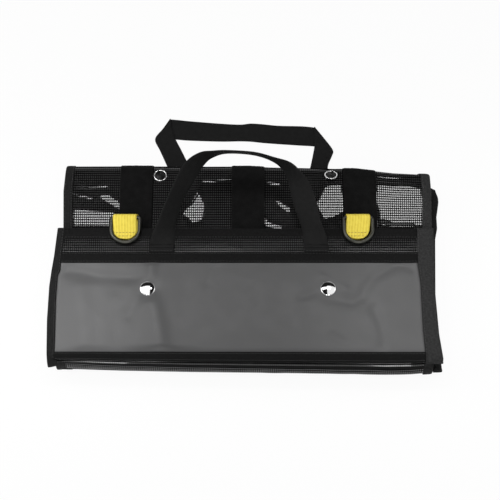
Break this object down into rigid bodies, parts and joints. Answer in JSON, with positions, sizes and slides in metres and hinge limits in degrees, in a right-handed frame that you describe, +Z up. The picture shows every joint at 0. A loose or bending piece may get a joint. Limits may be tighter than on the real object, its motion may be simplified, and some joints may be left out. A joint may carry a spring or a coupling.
{
  "type": "folding mesh carry bag",
  "caption": "Flat folding carry bag of bound mesh panels with a front pocket, two webbing handles, hook-and-loop flap, snaps and D-rings on webbing tabs.",
  "frame": {"origin": "middle of the footprint of the bag lying on its back, on the surface that it lies on", "axes": "+X across the bag, to the right as seen from the front, +Y from its bottom towards its handles, +Z up out of the front pocket"},
  "size_m": [0.393, 0.293, 0.0896],
  "materials": {
    "mesh": "clear gloss vinyl over a black thread grid",
    "grey_vinyl": "semi-matt grey vinyl with soft creases",
    "binding": "fine ribbed black tape",
    "webbing": "black webbing",
    "yellow_webbing": "yellow ribbed webbing",
    "loop_pile": "black loop pile",
    "hook_tape": "black hook tape",
    "chrome": "polished",
    "dark_metal": "dark nickel plate"
  },
  "bodies": {
    "root": {"back_panel": "mesh", "back_binding_left": "binding", "back_binding_right": "binding", "top_fold": "mesh", "top_fold_binding_left": "binding", "top_fold_binding_right": "binding", "loop_wrap_left": "loop_pile", "loop_wrap_middle": "loop_pile", "loop_wrap_right": "loop_pile", "rear_handle_end_left": "webbing", "rear_handle_end_right": "webbing"},
    "spine": {"bottom_spine": "mesh", "spine_binding_left": "binding", "spine_binding_right": "binding"},
    "front": {"front_panel": "mesh", "front_binding_left": "binding", "front_binding_right": "binding", "front_top_binding": "binding", "front_pocket": "grey_vinyl", "pocket_mouth_tape": "binding", "pocket_bottom_tape": "binding", "hook_strip_left": "hook_tape", "hook_strip_middle": "hook_tape", "hook_strip_right": "hook_tape", "snap_cap_left": "chrome", "snap_cap_right": "chrome", "snap_stud_left": "chrome", "snap_stud_right": "chrome", "ring_tab_left": "yellow_webbing", "ring_tab_right": "yellow_webbing", "front_handle_end_left": "webbing", "front_handle_end_right": "webbing"},
    "top_flap": {"top_flap_panel": "mesh", "top_flap_binding_left": "binding", "top_flap_binding_right": "binding", "top_flap_edge_binding": "binding", "loop_strip_left": "loop_pile", "loop_strip_middle": "loop_pile", "loop_strip_right": "loop_pile", "flap_snap_left": "chrome", "flap_snap_right": "chrome"},
    "front_handle": {"front_handle": "webbing"},
    "rear_handle": {"rear_handle": "webbing"},
    "d_ring_left": {"d_ring_left": "dark_metal"},
    "d_ring_right": {"d_ring_right": "dark_metal"}
  },
  "joints": [
    {"name": "bottom_spine_fold", "type": "hinge", "parent": "root", "child": "spine", "pos_m": [-0.004, -0.1422, 0.00652], "axis": [1, 0, 0], "range_deg": [0, 41.25]},
    {"name": "front_open", "type": "hinge", "parent": "spine", "child": "front", "pos_m": [-0.0045, -0.1422, 0.02998], "axis": [1, 0, 0], "range_deg": [0, 110]},
    {"name": "top_flap_open", "type": "hinge", "parent": "root", "child": "top_flap", "pos_m": [-0.001, 0.08057, 0.02704], "axis": [-1, 0, 0], "range_deg": [0, 110]},
    {"name": "front_handle_swing", "type": "hinge", "parent": "front", "child": "front_handle", "pos_m": [-0.00825, -0.01682, 0.0374], "axis": [1, 0, 0], "range_deg": [0, 140]},
    {"name": "rear_handle_swing", "type": "hinge", "parent": "root", "child": "rear_handle", "pos_m": [-0.0017, 0.08507, 0.0012], "axis": [1, 0, 0], "range_deg": [0, 60]},
    {"name": "d_ring_left_swing", "type": "hinge", "parent": "front", "child": "d_ring_left", "pos_m": [-0.12545, 0.01337, 0.03886], "axis": [-1, 0, 0], "range_deg": [0, 170]},
    {"name": "d_ring_right_swing", "type": "hinge", "parent": "front", "child": "d_ring_right", "pos_m": [0.11095, 0.01337, 0.03886], "axis": [-1, 0, 0], "range_deg": [0, 170]}
  ],
  "couplings": [
    {"joint": "bottom_spine_fold", "follows": "front_open", "ratio": 0.375},
    {"joint": "top_flap_open", "follows": "front_open", "ratio": 1}
  ]
}
